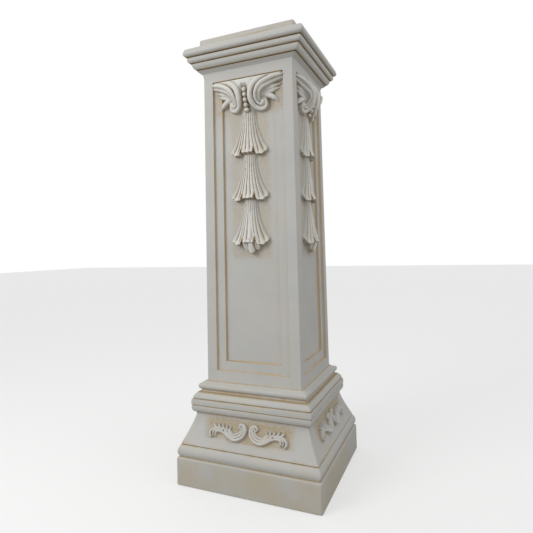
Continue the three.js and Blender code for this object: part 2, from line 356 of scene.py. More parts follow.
class Relief:
    """Height and wash over a patch of one face, where what stands higher hides the rest. Wash
    above 1 turns dark brown in the paint, in places as painted shade.
    """

    def __init__(self, across, up, height):
        self.across, self.up = across, up
        self.height = np.full(across.shape, float(height))
        self.wash = np.zeros(across.shape)

    def lay(self, part, raised, wash):
        """Lays a raised form with its wash on one part of the patch."""
        held = self.height[part]
        self.wash[part] = np.where(raised > held, wash, self.wash[part])
        self.height[part] = np.maximum(held, raised)

    def near(self, curve, reach):
        """The part of the patch that lies within reach of a curve's box."""
        low, high = curve.min(0) - reach, curve.max(0) + reach
        part = (self.across > low[0]) & (self.across < high[0])
        return part & (self.up > low[1]) & (self.up < high[1])

    def stroke(self, points, half, crest, rounding=0.8, steep=6.0, grooves=(), edge=1.0):
        """Raises a rounded stroke along a curve.

        half and crest are its half widths and heights along the curve. grooves are
        (place, width, depth), the place from -1 to 1 across the stroke, and edge is the
        wash along its sides; above 1 it darkens them toward brown, partly as painted shade.
        """
        length = sum(math.dist(a, b) for a, b in zip(points, points[1:]))
        curve, share = spline(points, int(length / STROKE_PITCH) + 8)
        widths, crests = along_stroke(half, share), along_stroke(crest, share)
        tangent = np.gradient(curve, axis=0)
        tangent /= np.linalg.norm(tangent, axis=1)[:, None]
        part = self.near(curve, max(half) + STROKE_MARGIN)
        x, y = self.across[part], self.up[part]
        best = np.full(x.shape, 1e9)
        side, width, top = np.zeros_like(x), np.ones_like(x), np.zeros_like(x)
        for (cx, cy), (tx, ty), w, c in zip(curve, tangent, widths, crests):
            dx, dy = x - cx, y - cy
            distance = np.hypot(dx, dy) / w
            closer = distance < best
            best = np.where(closer, distance, best)
            side = np.where(closer, (tx * dy - ty * dx) / w, side)
            width, top = np.where(closer, w, width), np.where(closer, c, top)
        inside = np.minimum(best, 1)
        beyond = width * np.maximum(best - 1, 0)
        raised = top - rounding * width * (1 - np.sqrt(1 - inside**2)) - steep * beyond
        wash = edge * smooth(0.8, 1.15, best)
        for place, breadth, depth in grooves:
            cut = bump_at(place, breadth, side)
            raised -= depth * cut
            wash = np.maximum(wash, 0.7 * smooth(0.5, 1.0, cut))
        self.lay(part, raised, wash)

    def pair(self, shape, other_side, **finish):
        """Raises a stroke and its partner, whose points other_side gives."""
        self.stroke(**shape, **finish)
        self.stroke(**{**shape, "points": other_side(shape["points"])}, **finish)

    def dome(self, centre, radii, top):
        """Raises a ball, seen from the front as an ellipse, up to a height."""
        q = ((self.across - centre[0]) / radii[0]) ** 2 + ((self.up - centre[1]) / radii[1]) ** 2
        part = q < 1.3
        raised = top - min(radii) * (1 - np.sqrt(1 - np.minimum(q, 1))) - 8 * np.maximum(q - 1, 0)
        self.lay(part, raised[part], smooth(0.6, 1.1, q[part]))


def softened(height, rounds):
    """Heights with each point brought toward its neighbours, several times over."""
    for _ in range(rounds):
        padded = np.pad(height, 1, mode="edge")
        ends = padded[:-2, 1:-1] + padded[2:, 1:-1]
        sides = padded[1:-1, :-2] + padded[1:-1, 2:]
        height = KEPT * height + TAKEN * (ends + sides)
    return height


# Drop of bells

BELL_LENGTH = 104.0
BELL_NECKS = (834.0, 734.0, 637.0)
BELL_HALF_NECK, BELL_HALF_HEM = 18.0, 46.0
BELL_SPREAD = 2.3
BELL_RISE_NECK, BELL_TIP_RISE = 10.0, 1.5
BELL_RISE_HEMS = (20.0, 21.0, 25.0)

# Flutes of a bell, as places of their grooves across its half width
BELL_GROOVES = np.array([-1, -0.8, -0.57, -0.33, -0.11, 0.14, 0.36, 0.6, 0.81, 1])
FLUTE_DEPTH_NECK, FLUTE_DEPTH_HEM = 0.9, 5.2
FLUTE_BREADTH = 0.22
FLUTE_ROUNDNESS = 0.97
FLUTE_SHORTER = 2.2

# Hem: its length at the middle, what the side lobes add, what the corners lose, its notches
HEM_MIDDLE, HEM_LOBES, HEM_CORNERS = 102, 5.0, 15.0
NOTCH_PLACE, NOTCH_DEPTH = 0.34, 5.5
HEM_CURL, WAIST_DIP, BELL_LIFT = 2.2, 0.9, 0.8

# How steeply a bell falls away past its hem, its neck and its sides
HEM_FALL, NECK_FALL, SIDE_FALL = 12.0, 3.0, 8.0

# Lobed tip under the last bell: two side lobes and a long middle one
DROP_TIP = (
    dict(
        points=[(-8, 549), (-10.5, 534), (-6, 520)],
        half=[7, 7, 4],
        crest=[20, 19, 13],
        grooves=((0, 0.3, 1.4),),
    ),
    dict(
        points=[(12, 549), (18, 535), (17, 523)],
        half=[7.5, 8, 5.5],
        crest=[20, 19, 13],
        grooves=((0, 0.3, 1.4),),
    ),
    dict(
        points=[(2.5, 600), (2.5, 575), (3.5, 545), (5, 518)],
        half=[2.4, 3.2, 5.0, 7.6],
        crest=[13, 18.5, 26, 19.5],
    ),
)


def hem_length(side):
    """Length of a bell at a place across it: three lobes with a notch on both sides."""
    away = abs(side)
    length = HEM_MIDDLE + HEM_LOBES * smooth(0.36, 0.5, away)
    length -= HEM_CORNERS * smooth(0.7, 1.03, away)
    return length - NOTCH_DEPTH * bump_at(NOTCH_PLACE, 0.05, away)


def place_on_bell(across, down):
    """Place across a bell from -1 to 1, its half width there, and the share run down it."""
    drop = down / BELL_LENGTH
    for _ in range(4):
        width = lerp(BELL_HALF_NECK, BELL_HALF_HEM, np.clip(drop, 0, 1.06) ** BELL_SPREAD)
        side = across / width
        drop = down / hem_length(np.clip(side, -1, 1))
    return side, width, drop


def bell_wash_and_shade(place, side, run, past):
    """Wash of a bell along its grooves, with dark brown painted shade at its notches and a
    painted shadow under its hem.
    """
    line = smooth(0.45, 0.95, abs(place)) * smooth(0.0, 0.12, run)
    # notch and under run above 1, so the paint turns them dark brown: painted shade in the
    # notches, a painted shadow under the hem
    notch = bump_at(NOTCH_PLACE, 0.08, abs(side)) * smooth(0.86, 0.97, run)
    under = smooth(0.0, 0.5, past) * (1.9 - 1.4 * smooth(1.4, 3.2, past))
    return np.maximum.reduce([0.85 * line * smooth(1.0, 0.93, run), 1.7 * notch, under])


def bell(relief, neck, rise_hem):
    """Raises one fluted bell: narrow at its neck, its hem scalloped and curled out."""
    side, width, drop = place_on_bell(relief.across, neck - relief.up)
    held = np.clip(side, -0.999, 0.999)
    flute = np.searchsorted(BELL_GROOVES, held) - 1
    start, end = BELL_GROOVES[flute], BELL_GROOVES[flute + 1]
    place = 2 * (held - start) / (end - start) - 1
    ridge = np.sqrt(1 - FLUTE_ROUNDNESS * place**2)
    run = np.clip(drop, 0, 1)
    rise = lerp(BELL_RISE_NECK, rise_hem, run**1.3)
    crown = BELL_TIP_RISE + (rise - BELL_TIP_RISE) * (1 - held**2) ** 0.7
    depth = lerp(FLUTE_DEPTH_NECK, FLUTE_DEPTH_HEM, run**0.8) * (end - start) / FLUTE_BREADTH
    depth *= 1 - 0.55 * smooth(0.88, 0.98, run)
    raised = crown - depth * (1 - ridge) + BELL_LIFT
    raised += HEM_CURL * smooth(0.86, 1.0, run) - WAIST_DIP * smooth(0.68, 0.84, run)
    hem = 1 - FLUTE_SHORTER * (1 - ridge) / BELL_LENGTH
    past = BELL_LENGTH * np.maximum(drop - hem, 0)
    raised -= HEM_FALL * past + NECK_FALL * BELL_LENGTH * np.maximum(-drop, 0)
    raised -= SIDE_FALL * width * np.maximum(abs(side) - 1, 0)
    relief.lay(slice(None), raised, bell_wash_and_shade(place, side, run, past))


# Capital

CAPITAL_TOP, CAPITAL_FOOT = PANEL_TOP, 826

# Bed under the wings: its height, its half widths, and its rises by share of its height
BED_HEIGHT = 71
BED_HALF_FOOT, BED_HALF_TOP = 20, 82
BED_SHARES, BED_RISES = (0, 0.45, 0.72, 1), (10, 22, 33, 31)
BED_CROWN, BED_FALL = 0.5, 6

# Filling between the strands: how often it is softened, its lift and share, and where it is
FILL_ROUNDS, FILL_LIFT, FILL_SHARE = 8, 0.6, 0.85
FILL_RISES, FILL_LEVELS = (7, 13), (835, 850)

# Limit on the wings' height by the frame's edge: at the edge, per mm below it, down to where
RIM_START, RIM_SLOPE, RIM_LEVEL = 2, 2.4, 860

# Channel between the wings, where the beads lie: how its top, foot and sides fade, its floor
CHANNEL_TOP, CHANNEL_FOOT, CHANNEL_SIDES = (884, 872), (819, 824), (4.5, 9.0)
CHANNEL_FLOOR_FOOT, CHANNEL_FLOOR_TOP, CHANNEL_FLOOR_HEIGHT = 11, 25, 46

WING = (
    # Outer rim, which wraps the volute
    dict(
        points=[(52, 891), (34, 885), (20.5, 873), (15, 859), (14, 847), (16.6, 837),
                (23, 829.4), (32, 825.4), (41, 827), (45.4, 834), (44.6, 842.5)],
        half=[2.5, 5.6, 6.2, 5.8, 5.4, 5.2, 4.8, 4.4, 4.0, 3.6, 3.0],
        crest=[31, 35, 37, 36.5, 33, 27, 19.5, 14.5, 13, 13, 14],
    ),
    # Two ridges of the band, which come down from the corner and curl into the eye
    dict(
        points=[(83, 892), (67, 887.5), (52, 881), (39.5, 873), (31.5, 864), (26.6, 854),
                (25, 845), (27.5, 838), (33.4, 834.6), (38, 836.6), (38.6, 841)],
        half=[2.4, 4.2, 4.6, 4.4, 3.8, 3.2, 3.0, 2.8, 2.7, 2.5, 2.2],
        crest=[17, 28, 34, 38, 38, 35, 29, 22, 18, 17, 17],
    ),
    dict(
        points=[(83, 885), (69, 880.8), (55, 874.5), (43.5, 867), (36, 858.5), (32, 850),
                (31.6, 843)],
        half=[2.4, 4.0, 4.4, 4.0, 3.4, 3.0, 2.6],
        crest=[13, 20, 27, 33, 33, 27, 21],
    ),
    # Upper leaf, its two ridges side by side
    dict(
        points=[(36, 856), (46, 863), (59, 867.6), (78, 873)],
        half=[2.6, 3.8, 4.2, 1.8],
        crest=[24, 22, 18.5, 12],
    ),
    dict(
        points=[(38, 852.5), (48, 857), (61, 860.5), (77, 865.5)],
        half=[2.4, 3.6, 4.2, 1.6],
        crest=[21, 19, 16, 10],
    ),
    # Lower leaf
    dict(
        points=[(42, 853), (54, 850.5), (65, 844.5), (75, 835)],
        half=[3.0, 5.4, 5.4, 1.4],
        crest=[18, 18, 15.5, 9],
        rounding=1.1,
    ),
    # Disc of the volute behind the curl
    dict(points=[(33, 839), (37, 843)], half=[10, 10], crest=[15, 15.5], rounding=0.3),
)
VOLUTE_EYE, EYE_RADII, EYE_RISE = (37.4, 839.6), (5.4, 5.6), 18.5

# The left wing is a little narrower than the right one, and its volute higher
NARROW = 0.86
NARROW_FROM = 8.0
NARROW_RAISE = 3.0

# Beads of the string: height up, half width, half height and rise
BEADS = (
    (867.3, 4.5, 5.2, 33.4),
    (856.9, 4.6, 4.9, 31.3),
    (846.2, 4.8, 4.9, 28.8),
    (836.0, 4.9, 4.9, 24.6),
    (826.4, 6.0, 4.4, 20.0),
)


def left_wing(points):
    """Places of the left wing, from those of the right one."""
    placed = []
    for x, y in points:
        scale = lerp(NARROW, 1.0, float(smooth(850, 890, y)))
        lift = NARROW_RAISE * (1 - float(smooth(CAPITAL_FOOT, 850, y)))
        placed.append((-(NARROW_FROM + (x - NARROW_FROM) * scale), y + lift))
    return placed


def capital_bed(across, up):
    """Plain swell behind the wings, which spreads toward the top."""
    share = np.clip((up - CAPITAL_FOOT) / BED_HEIGHT, 0, 1)
    half = lerp(BED_HALF_FOOT, BED_HALF_TOP, share**1.5)
    side = np.clip(across / half, -1, 1)
    bed = np.interp(share, BED_SHARES, BED_RISES) * (1 - BED_CROWN * side**2)
    beyond, below = np.maximum(abs(across) - half, 0), np.maximum(CAPITAL_FOOT - up, 0)
    return bed - (BED_FALL * beyond + BED_FALL * below)


def fill_between(relief):
    """Lifts the narrow gaps between the strands of the wings."""
    filled = softened(relief.height, FILL_ROUNDS)
    within = smooth(*FILL_RISES, filled) * smooth(*FILL_LEVELS, relief.up)
    fuller = np.maximum(relief.height, filled + FILL_LIFT)
    relief.height = lerp(relief.height, fuller, FILL_SHARE * within)


def cut_channel(relief):
    """Cuts the channel in which the beads lie, and paints it dark brown: partly patina, partly
    painted shade.
    """
    up = relief.up
    sides = 1 - smooth(*CHANNEL_SIDES, abs(relief.across))
    channel = smooth(*CHANNEL_TOP, up) * smooth(*CHANNEL_FOOT, up) * sides
    share = np.clip((up - CHANNEL_FOOT[1]) / CHANNEL_FLOOR_HEIGHT, 0, 1)
    floor = lerp(CHANNEL_FLOOR_FOOT, CHANNEL_FLOOR_TOP, share)
    relief.height = lerp(relief.height, np.minimum(relief.height, floor), channel)
    # Wash of 1.5 turns dark brown in the paint: patina in the channel and painted shade under the
    # beads
    relief.wash = np.maximum(relief.wash, 1.5 * smooth(0.55, 1.0, channel))


def slope_to_frame(relief):
    """Keeps the top of the capital low by the frame's upper edge, with wash along it."""
    up = relief.up
    frame_floor = FACE_RISE - FRAME_DEPTH
    limit = frame_floor + RIM_START + RIM_SLOPE * (CAPITAL_TOP - up)
    held = np.minimum(relief.height, np.maximum(limit, frame_floor))
    relief.height = np.where(up > RIM_LEVEL, held, relief.height)
    relief.wash = np.maximum(relief.wash, 0.6 * smooth(CAPITAL_TOP - 12, CAPITAL_TOP - 3, up))
    relief.wash = np.maximum(relief.wash, smooth(CAPITAL_TOP - 2.5, CAPITAL_TOP, up))


def capital(relief):
    """Raises the capital: its bed, wings, channel, eyes and beads."""
    relief.lay(slice(None), capital_bed(relief.across, relief.up), 0.0)
    for shape in WING:
        relief.pair(shape, left_wing, steep=9.0)
    fill_between(relief)
    cut_channel(relief)
    for eye in (VOLUTE_EYE, left_wing([VOLUTE_EYE])[0]):
        relief.dome(eye, EYE_RADII, EYE_RISE)
    for level, half_width, half_height, top in BEADS:
        relief.dome((0, level), (half_width, half_height), top)
    slope_to_frame(relief)


def inside_panel(across, up, half, border):
    """How far a point lies inside the outer foot of a panel step."""
    return np.minimum.reduce(
        [
            half + WALL - abs(across),
            PANEL_TOP - border + WALL - up,
            up - PANEL_BOTTOM - border + WALL,
        ]
    )


def shaft_relief(across, up):
    """Heights of the plain panel and of it with its ornament, and the ornament itself."""
    field_half, frame_half = panel_halves(up)
    to_frame = inside_panel(across, up, frame_half, 0.0)
    to_field = inside_panel(across, up, field_half, FIELD_BORDER)
    plain = FACE_RISE - FRAME_DEPTH * np.clip(to_frame / WALL, 0, 1)
    plain -= (FIELD_DEPTH - FRAME_DEPTH) * np.clip(to_field / WALL, 0, 1)
    relief = Relief(across, up, -1.0)
    for neck, rise_hem in reversed(list(zip(BELL_NECKS, BELL_RISE_HEMS))):
        bell(relief, neck, rise_hem)
    for shape in DROP_TIP:
        # Edge wash of 1.3 darkens the tip's outlines toward brown: patina, and partly a painted
        # shadow under the lobes
        relief.stroke(**shape, steep=9.0, edge=1.3)
    capital(relief)
    relief.wash = np.where(relief.height > plain, relief.wash, 0)
    return plain, np.maximum(plain, relief.height), relief


# Scroll on the flare, as places across and along its slope

SCROLL = (
    # C-scroll whose head curls up by the middle, then the strands inside it
    dict(
        points=[(14, 49.5), (18.3, 48.2), (21, 52.5), (17.8, 56.8), (11, 56.6), (6.2, 51.5),
                (5.2, 44), (9.2, 34), (19, 26), (31, 23.6), (43, 28), (55, 35), (67, 38)],
        half=[1.8, 2.2, 2.4, 2.6, 2.6, 2.6, 2.6, 2.7, 3, 3.2, 3, 2.6, 2.2],
        crest=[5, 5.5, 6.5, 7, 7.5, 8, 8, 8, 8, 8, 7.5, 7, 5.5],
    ),
    dict(
        points=[(14.4, 52), (16.2, 53.4), (13.6, 54), (11, 51.5), (10.4, 46), (13.8, 37.8),
                (22, 31.4), (32, 29.3), (42, 32.4), (52, 38.6), (58, 43)],
        half=[1.4, 1.6, 1.6, 1.8, 2.2, 2.4, 2.5, 2.5, 2.4, 2.2, 1.4],
        crest=[5, 5.5, 6, 6.5, 7, 7.5, 7.5, 7.5, 7, 6.5, 4.5],
    ),
    dict(
        points=[(15, 45.5), (18.6, 40.4), (25, 36.4), (33, 34.8), (41, 37), (48, 41.5)],
        half=[1.6, 2.2, 2.4, 2.4, 2.2, 1.4],
        crest=[5, 6.5, 6.5, 6.5, 6, 4],
    ),
    # Lobes that spray up from the far end
    dict(points=[(38, 38), (43, 43.5), (41, 49)], half=[2, 2.2, 1.6], crest=[5, 5.5, 4.5]),
    dict(points=[(45, 40), (51, 45.5), (50, 51)], half=[2, 2.3, 1.7], crest=[5, 6, 4.5]),
    dict(points=[(53, 41), (59.5, 46.5), (60, 52)], half=[2.1, 2.4, 1.8], crest=[5.5, 6, 5]),
    dict(points=[(60, 41), (68, 46), (70.5, 52)], half=[2.2, 2.6, 2.0], crest=[5.5, 6.5, 5.5]),
    dict(points=[(66, 41), (76, 45), (81.5, 50)], half=[2.3, 2.8, 2.4], crest=[6, 7, 6]),
    # Hooks that turn down at the far end
    dict(
        points=[(62, 37.5), (72, 37), (76, 32.5), (75.5, 27.5)],
        half=[2.2, 2.4, 2.3, 2],
        crest=[6, 6.5, 6, 5],
    ),
    dict(
        points=[(68, 39.5), (78, 38.5), (82, 33), (80.5, 27)],
        half=[2, 2.2, 2.1, 1.8],
        crest=[5.5, 6, 6, 5],
    ),
    dict(
        points=[(66, 40.5), (79, 41.5), (87, 37), (88.8, 30), (86, 24.5)],
        half=[2.3, 2.7, 2.8, 2.6, 2.2],
        crest=[6, 6.5, 7, 7, 6],
    ),
)


def flare_relief(across, along):
    """The scroll and its mirror image raised over the flare."""
    relief = Relief(across, along, 0.0)
    for shape in SCROLL:
        relief.pair(shape, mirrored, rounding=1.1, steep=5.0)
    filled = softened(relief.height, 2)
    relief.height = np.maximum(relief.height, filled * smooth(2.5, 4.5, filled))
    relief.wash *= 1 - 0.9 * smooth(2.5, 4.0, filled)
    relief.wash = np.where(relief.height > 0, relief.wash, 0)
    return relief


# The mesh

# Grooves of the mouldings, as height, share of wash and how far it spreads. Shares above 1 turn
# dark brown, partly patina and partly painted shade.
GROOVES = (
    (63.0, 0.9, 1.4),
    (HALF_ROUND_GROOVE[1], 1.0, 1.5),
    (155.5, 1.1, 2.4),
    (BAND_GROOVE[0][1], 1.1, 1.2),
    (FILLET_GROOVE[1], 1.1, 1.4),
    (SCOTIA[0][1], 1.3, 1.8),
    (204.5, 1.0, 1.6),
    (223.5, 0.6, 2.2),
    *((SHAFT_TOP_Z + part["groove"][1], 1.6, 1.1) for part in (COVE, *CORNICE_ROLLS[:2])),
)
LEAST_GROOVE = 0.05


def face_grid():
    """One face from corner to corner: places across, outward and up, and its marks."""
    across, outward = half_face()
    across = np.hstack([-across[:, :0:-1], across])
    outward = np.hstack([outward[:, :0:-1], outward])
    up = np.repeat(row_z[:, None], across.shape[1], axis=1)
    marks = {name: np.zeros_like(across) for name in ("raised", "wash", "groove")}
    flat = slice(ARC_CELLS, across.shape[1] - ARC_CELLS)

    shaft = slice(first_shaft, last_shaft + 1)
    plain, high, relief = shaft_relief(across[shaft, flat], up[shaft, flat])
    outward[shaft, flat] += high - FACE_RISE
    marks["raised"][shaft, flat] = high - plain
    marks["wash"][shaft, flat] = relief.wash

    flare = slice(first_flare, last_flare + 1)
    along = np.repeat(flare_along[:, None], across[flare, flat].shape[1], axis=1)
    relief = flare_relief(across[flare, flat], along)
    normal = profile_normals()[flare]
    outward[flare, flat] += relief.height * normal[:, :1]
    up[flare, flat] += relief.height * normal[:, 1:]
    marks["raised"][flare, flat] = relief.height
    marks["wash"][flare, flat] = relief.wash
    marks["wash"] *= smooth(0.2, 2.5, marks["raised"])

    for height, strength, reach in GROOVES:
        pooled = strength * bump_at(height, reach, row_z)[:, None]
        pooled = np.where(pooled > LEAST_GROOVE, pooled, 0)
        marks["groove"] = np.maximum(marks["groove"], pooled)
    return across, outward, up, marks


def ring(across, outward, up, marks):
    """The four faces joined at their corners, as (rows, columns, xyz), and their marks."""
    places = []
    for side in range(4):
        turn = side * math.pi / 2
        x = across * math.cos(turn) + outward * math.sin(turn)
        y = across * math.sin(turn) - outward * math.cos(turn)
        places.append(np.stack([x, y, up], axis=-1)[:, :-1])
    around = {name: np.tile(values[:, :-1], 4) for name, values in marks.items()}
    return np.concatenate(places, axis=1), around


def grid_normals(places):
    """Outward unit normals of the ring's points."""
    around = np.roll(places, -1, axis=1) - np.roll(places, 1, axis=1)
    upward = np.gradient(places, axis=0)
    normal = np.cross(around, upward)
    return normal / np.maximum(np.linalg.norm(normal, axis=-1, keepdims=True), 1e-9)


def hollows(places, normal):
    """How far each point lies below its surroundings, in millimetres."""
    soft = places.copy()
    for _ in range(3):
        sides = np.roll(soft, 1, axis=1) + np.roll(soft, -1, axis=1)
        ends = np.concatenate([soft[:1], soft[:-1]]) + np.concatenate([soft[1:], soft[-1:]])
        soft = soft * KEPT + (sides + ends) * TAKEN
    return ((soft - places) * normal).sum(-1)


def make_column():
    """The column as one closed mesh, with its marks kept as values of its vertices."""
    places, marks = ring(*face_grid())
    marks["hollow"] = hollows(places, grid_normals(places))
    on_shaft = slice(first_shaft, last_shaft + 1)
    marks["hollow"][on_shaft] *= smooth(0.5, 3.0, marks["raised"][on_shaft])
    count, columns = places.shape[:2]
    index = np.arange(count * columns).reshape(count, columns)
    beside = np.roll(index, -1, axis=1)
    quads = np.stack([index[:-1], beside[:-1], beside[1:], index[1:]], axis=-1).reshape(-1, 4)
    faces = quads.tolist() + [index[0, ::-1].tolist(), index[-1].tolist()]
    mesh = bpy.data.meshes.new("pedestal")
    mesh.from_pydata((places.reshape(-1, 3) * MM).tolist(), [], faces)
    for name, values in marks.items():
        attribute = mesh.attributes.new(name, "FLOAT", "POINT")
        attribute.data.foreach_set("value", values.astype(np.float32).ravel())
    column = bpy.data.objects.new("pedestal", mesh)
    bpy.context.scene.collection.objects.link(column)
    return column


def apply_modifiers(obj):
    """Gives an object the mesh that its modifiers make, and takes them off."""
    graph = bpy.context.evaluated_depsgraph_get()
    mesh = bpy.data.meshes.new_from_object(obj.evaluated_get(graph))
    obj.modifiers.clear()
    obj.data = mesh


def lighten(column):
    """Brings the mesh down to its number of triangles and shades it softly."""
    triangles = 2 * len(column.data.polygons)
    thin = column.modifiers.new("thin", "DECIMATE")
    thin.ratio = TRIANGLES / triangles
    thin.use_collapse_triangulate = True
    apply_modifiers(column)
    mesh = column.data
    mesh.shade_smooth()
    mesh.set_sharp_from_angle(angle=math.radians(SHARP_ANGLE))
    weighted = column.modifiers.new("weighted", "WEIGHTED_NORMAL")
    weighted.keep_sharp = True
    apply_modifiers(column)


# Material

NOISE_ROUGHNESS = 0.55


class Graph:
    """Short ways to add the nodes of one material."""

    def __init__(self, tree):
        self.tree = tree

    def put(self, socket, value):
        """Links another node's output to a socket, or sets a plain value on it."""
        if isinstance(value, bpy.types.NodeSocket):
            self.tree.links.new(value, socket)
        elif isinstance(value, tuple) and len(value) == 3 and socket.type == "RGBA":
            socket.default_value = (*value, 1)
        else:
            socket.default_value = value

    def math(self, operation, *values):
        node = self.tree.nodes.new("ShaderNodeMath")
        node.operation = operation
        for socket, value in zip(node.inputs, values):
            self.put(socket, value)
        return node.outputs[0]

    def fold(self, operation, first, *others):
        """One operation on two values, then on its result and the next one."""
        result = first
        for value in others:
            result = self.math(operation, result, value)
        return result

    def times(self, *values):
        return self.fold("MULTIPLY", *values)

    def most(self, *values):
        return self.fold("MAXIMUM", *values)

    def least(self, *values):
        return self.fold("MINIMUM", *values)

    def less(self, value, amount):
        return self.math("SUBTRACT", value, amount)

    def rest(self, share):
        return self.math("SUBTRACT", 1.0, share)

    def scaled(self, value, factor, base):
        """base plus factor times value."""
        return self.math("MULTIPLY_ADD", value, factor, base)

    def step(self, value, low, high):
        """Smooth step from 0 at low to 1 at high."""
        node = self.tree.nodes.new("ShaderNodeMapRange")
        node.interpolation_type = "SMOOTHSTEP"
        self.put(node.inputs["Value"], value)
        node.inputs["From Min"].default_value = low
        node.inputs["From Max"].default_value = high
        return node.outputs["Result"]

    def step_mm(self, value, low, high):
        """Smooth step of a length in metres between two lengths in millimetres."""
        return self.step(value, low * MM, high * MM)

    def noise(self, vector, scale, detail, stretch=(1, 1, 1)):
        """Noise with so many spots to the metre, finer along an axis stretched more."""
        mapping = self.tree.nodes.new("ShaderNodeMapping")
        self.put(mapping.inputs["Vector"], vector)
        mapping.inputs["Scale"].default_value = stretch
        node = self.tree.nodes.new("ShaderNodeTexNoise")
        self.put(node.inputs["Vector"], mapping.outputs[0])
        node.inputs["Scale"].default_value = scale
        node.inputs["Detail"].default_value = detail
        node.inputs["Roughness"].default_value = NOISE_ROUGHNESS
        return node.outputs["Fac"]

    def mix(self, share, a, b):
        node = self.tree.nodes.new("ShaderNodeMix")
        node.data_type = "RGBA"
        self.put(node.inputs["Factor"], share)
        self.put(node.inputs[6], a)
        self.put(node.inputs[7], b)
        return node.outputs[2]

    def attribute(self, name):
        node = self.tree.nodes.new("ShaderNodeAttribute")
        node.attribute_type = "GEOMETRY"
        node.attribute_name = name
        return node.outputs["Fac"]


def linear(red, green, blue):
    """Linear colour of an 8-bit one."""
    return tuple(
        c / 12.92 if c <= 0.04045 else ((c + 0.055) / 1.055) ** 2.4
        for c in (red / 255, green / 255, blue / 255)
    )


PALE = linear(194, 193, 189)
PALE_COOL = linear(188, 189, 187)
PALE_WARM = linear(196, 192, 183)
# Lighter paint on the crests of the carving: worn paint, and partly a painted highlight
WORN_AND_HIGHLIGHT = linear(226, 224, 218)
BEIGE = linear(188, 179, 159)
TAN = linear(174, 152, 114)
OCHRE = linear(200, 176, 134)
# Dark brown: patina in crevices, and painted shade under bell hems, in notches, in the bead
# channel and in grooves
BROWN_PATINA_AND_SHADE = linear(112, 90, 58)

PAINT_ROUGHNESS = 0.62
PAINT_SPECULAR = 0.35
GRAIN_STRENGTH, GRAIN_DEPTH = 0.5, 0.0004

# Beige: heights over which it fades on the plinth, slab and base, its share on each
PLINTH_BEIGE, PLINTH_BEIGE_SHARE = (50, 75), 0.85
SLAB_BEIGE, SLAB_BEIGE_SHARE = (SLAB_FOOT_Z - 3, SLAB_FOOT_Z + 2), 0.55
BASE_BEIGE, BASE_BEIGE_SHARE = (245, 215), 0.28
LEAST_BEIGE = 0.14

# Wash along the panel's two edges, as border, reach and share, and its share at the foot
EDGE_WASH = ((0.0, 1.4, 0.8), (FIELD_BORDER, 2.2, 0.9))
EDGE_WASH_FOOT = 0.9

# Wash on the panel's ground: how it fades under and beside the capital and round the drop
CAPITAL_WASH_FOOT, CAPITAL_WASH_SIDE = (806, 834), (83.5, 82)
DROP_WASH_FOOT, DROP_WASH_SIDE = (492, 508), (54, 38)
PANEL_WASH_TOP = (PANEL_TOP + 0.5, PANEL_TOP - 0.5)

# Wash round the scroll: its lower edge with steps as (from, to, rise), and how it fades
SCROLL_WASH_FOOT = 108
SCROLL_WASH_STEPS = ((42, 62, 10), (68, 82, -7))
SCROLL_WASH_SIDE = (130, 108)
SCROLL_WASH_TOP = (NECK_Z + 5, NECK_Z - 6)

# Share of wash in plain hollows, in carved lines, on the panel's ground, and of the dark brown,
# which is patina and partly painted shade
POOLED_SHARE, CARVED_SHARE, PANEL_SHARE, DARK_PATINA_AND_SHADE_SHARE = 0.75, 0.85, 0.7, 0.75
DROP_SHARE = 0.7
WORN_AND_HIGHLIGHT_SHARE = 0.78
STREAK_SHARE = 0.4

# The carving's marks end by this half width, and the flare lies between these heights
CARVING_SIDE = (96, 92)
FLARE_LOW, FLARE_HIGH = (90, 92), (152, 150)


def surroundings(g):
    """What the paint goes by: the point, its marks, and noise of several sizes."""
    where = g.tree.nodes.new("ShaderNodeTexCoord").outputs["Object"]
    split = g.tree.nodes.new("ShaderNodeSeparateXYZ")
    g.put(split.inputs[0], where)
    x, y, z = split.outputs
    blotch = g.noise(where, 9, 5)
    speck = g.noise(where, 70, 5)
    return SimpleNamespace(
        where=where,
        z=z,
        across=g.least(g.math("ABSOLUTE", x), g.math("ABSOLUTE", y)),
        blotch=blotch,
        cloud=g.noise(where, 17, 4),
        streak=g.noise(where, 40, 4, stretch=(4, 4, 0.3)),
        uneven=g.scaled(g.less(speck, 0.5), 1.1, g.less(blotch, 0.5)),
        hollow=g.attribute("hollow"),
        raised=g.attribute("raised"),
        wash=g.attribute("wash"),
        groove=g.attribute("groove"),
    )


def panel_wash(g, at):
    """Share of wash at the foot of the panel's walls, from the frame and from the field."""
    rise = g.math("DIVIDE", g.less(at.z, PANEL_BOTTOM * MM), (PANEL_TOP - PANEL_BOTTOM) * MM)
    taper = (PANEL_HALF_TOP - PANEL_HALF_BOTTOM) * MM
    frame_half = g.scaled(rise, taper, PANEL_HALF_BOTTOM * MM)
    edges = 0.0
    for border, reach, strength in EDGE_WASH:
        side = g.less(g.less(frame_half, border * MM), at.across)
        foot = g.less(at.z, (PANEL_BOTTOM + border) * MM)
        head = g.less((PANEL_TOP - border) * MM, at.z)
        inside = g.least(side, foot, head)
        band = g.rest(g.step_mm(g.scaled(at.uneven, 5 * MM, inside), -1, reach))
        within = g.step_mm(inside, -1.6 * WALL, -1.0 * WALL)
        lowest = g.step_mm(g.less(side, foot), 0, 2)
        share = g.scaled(lowest, EDGE_WASH_FOOT - strength, strength)
        edges = g.most(edges, g.times(band, within, share))
    return edges


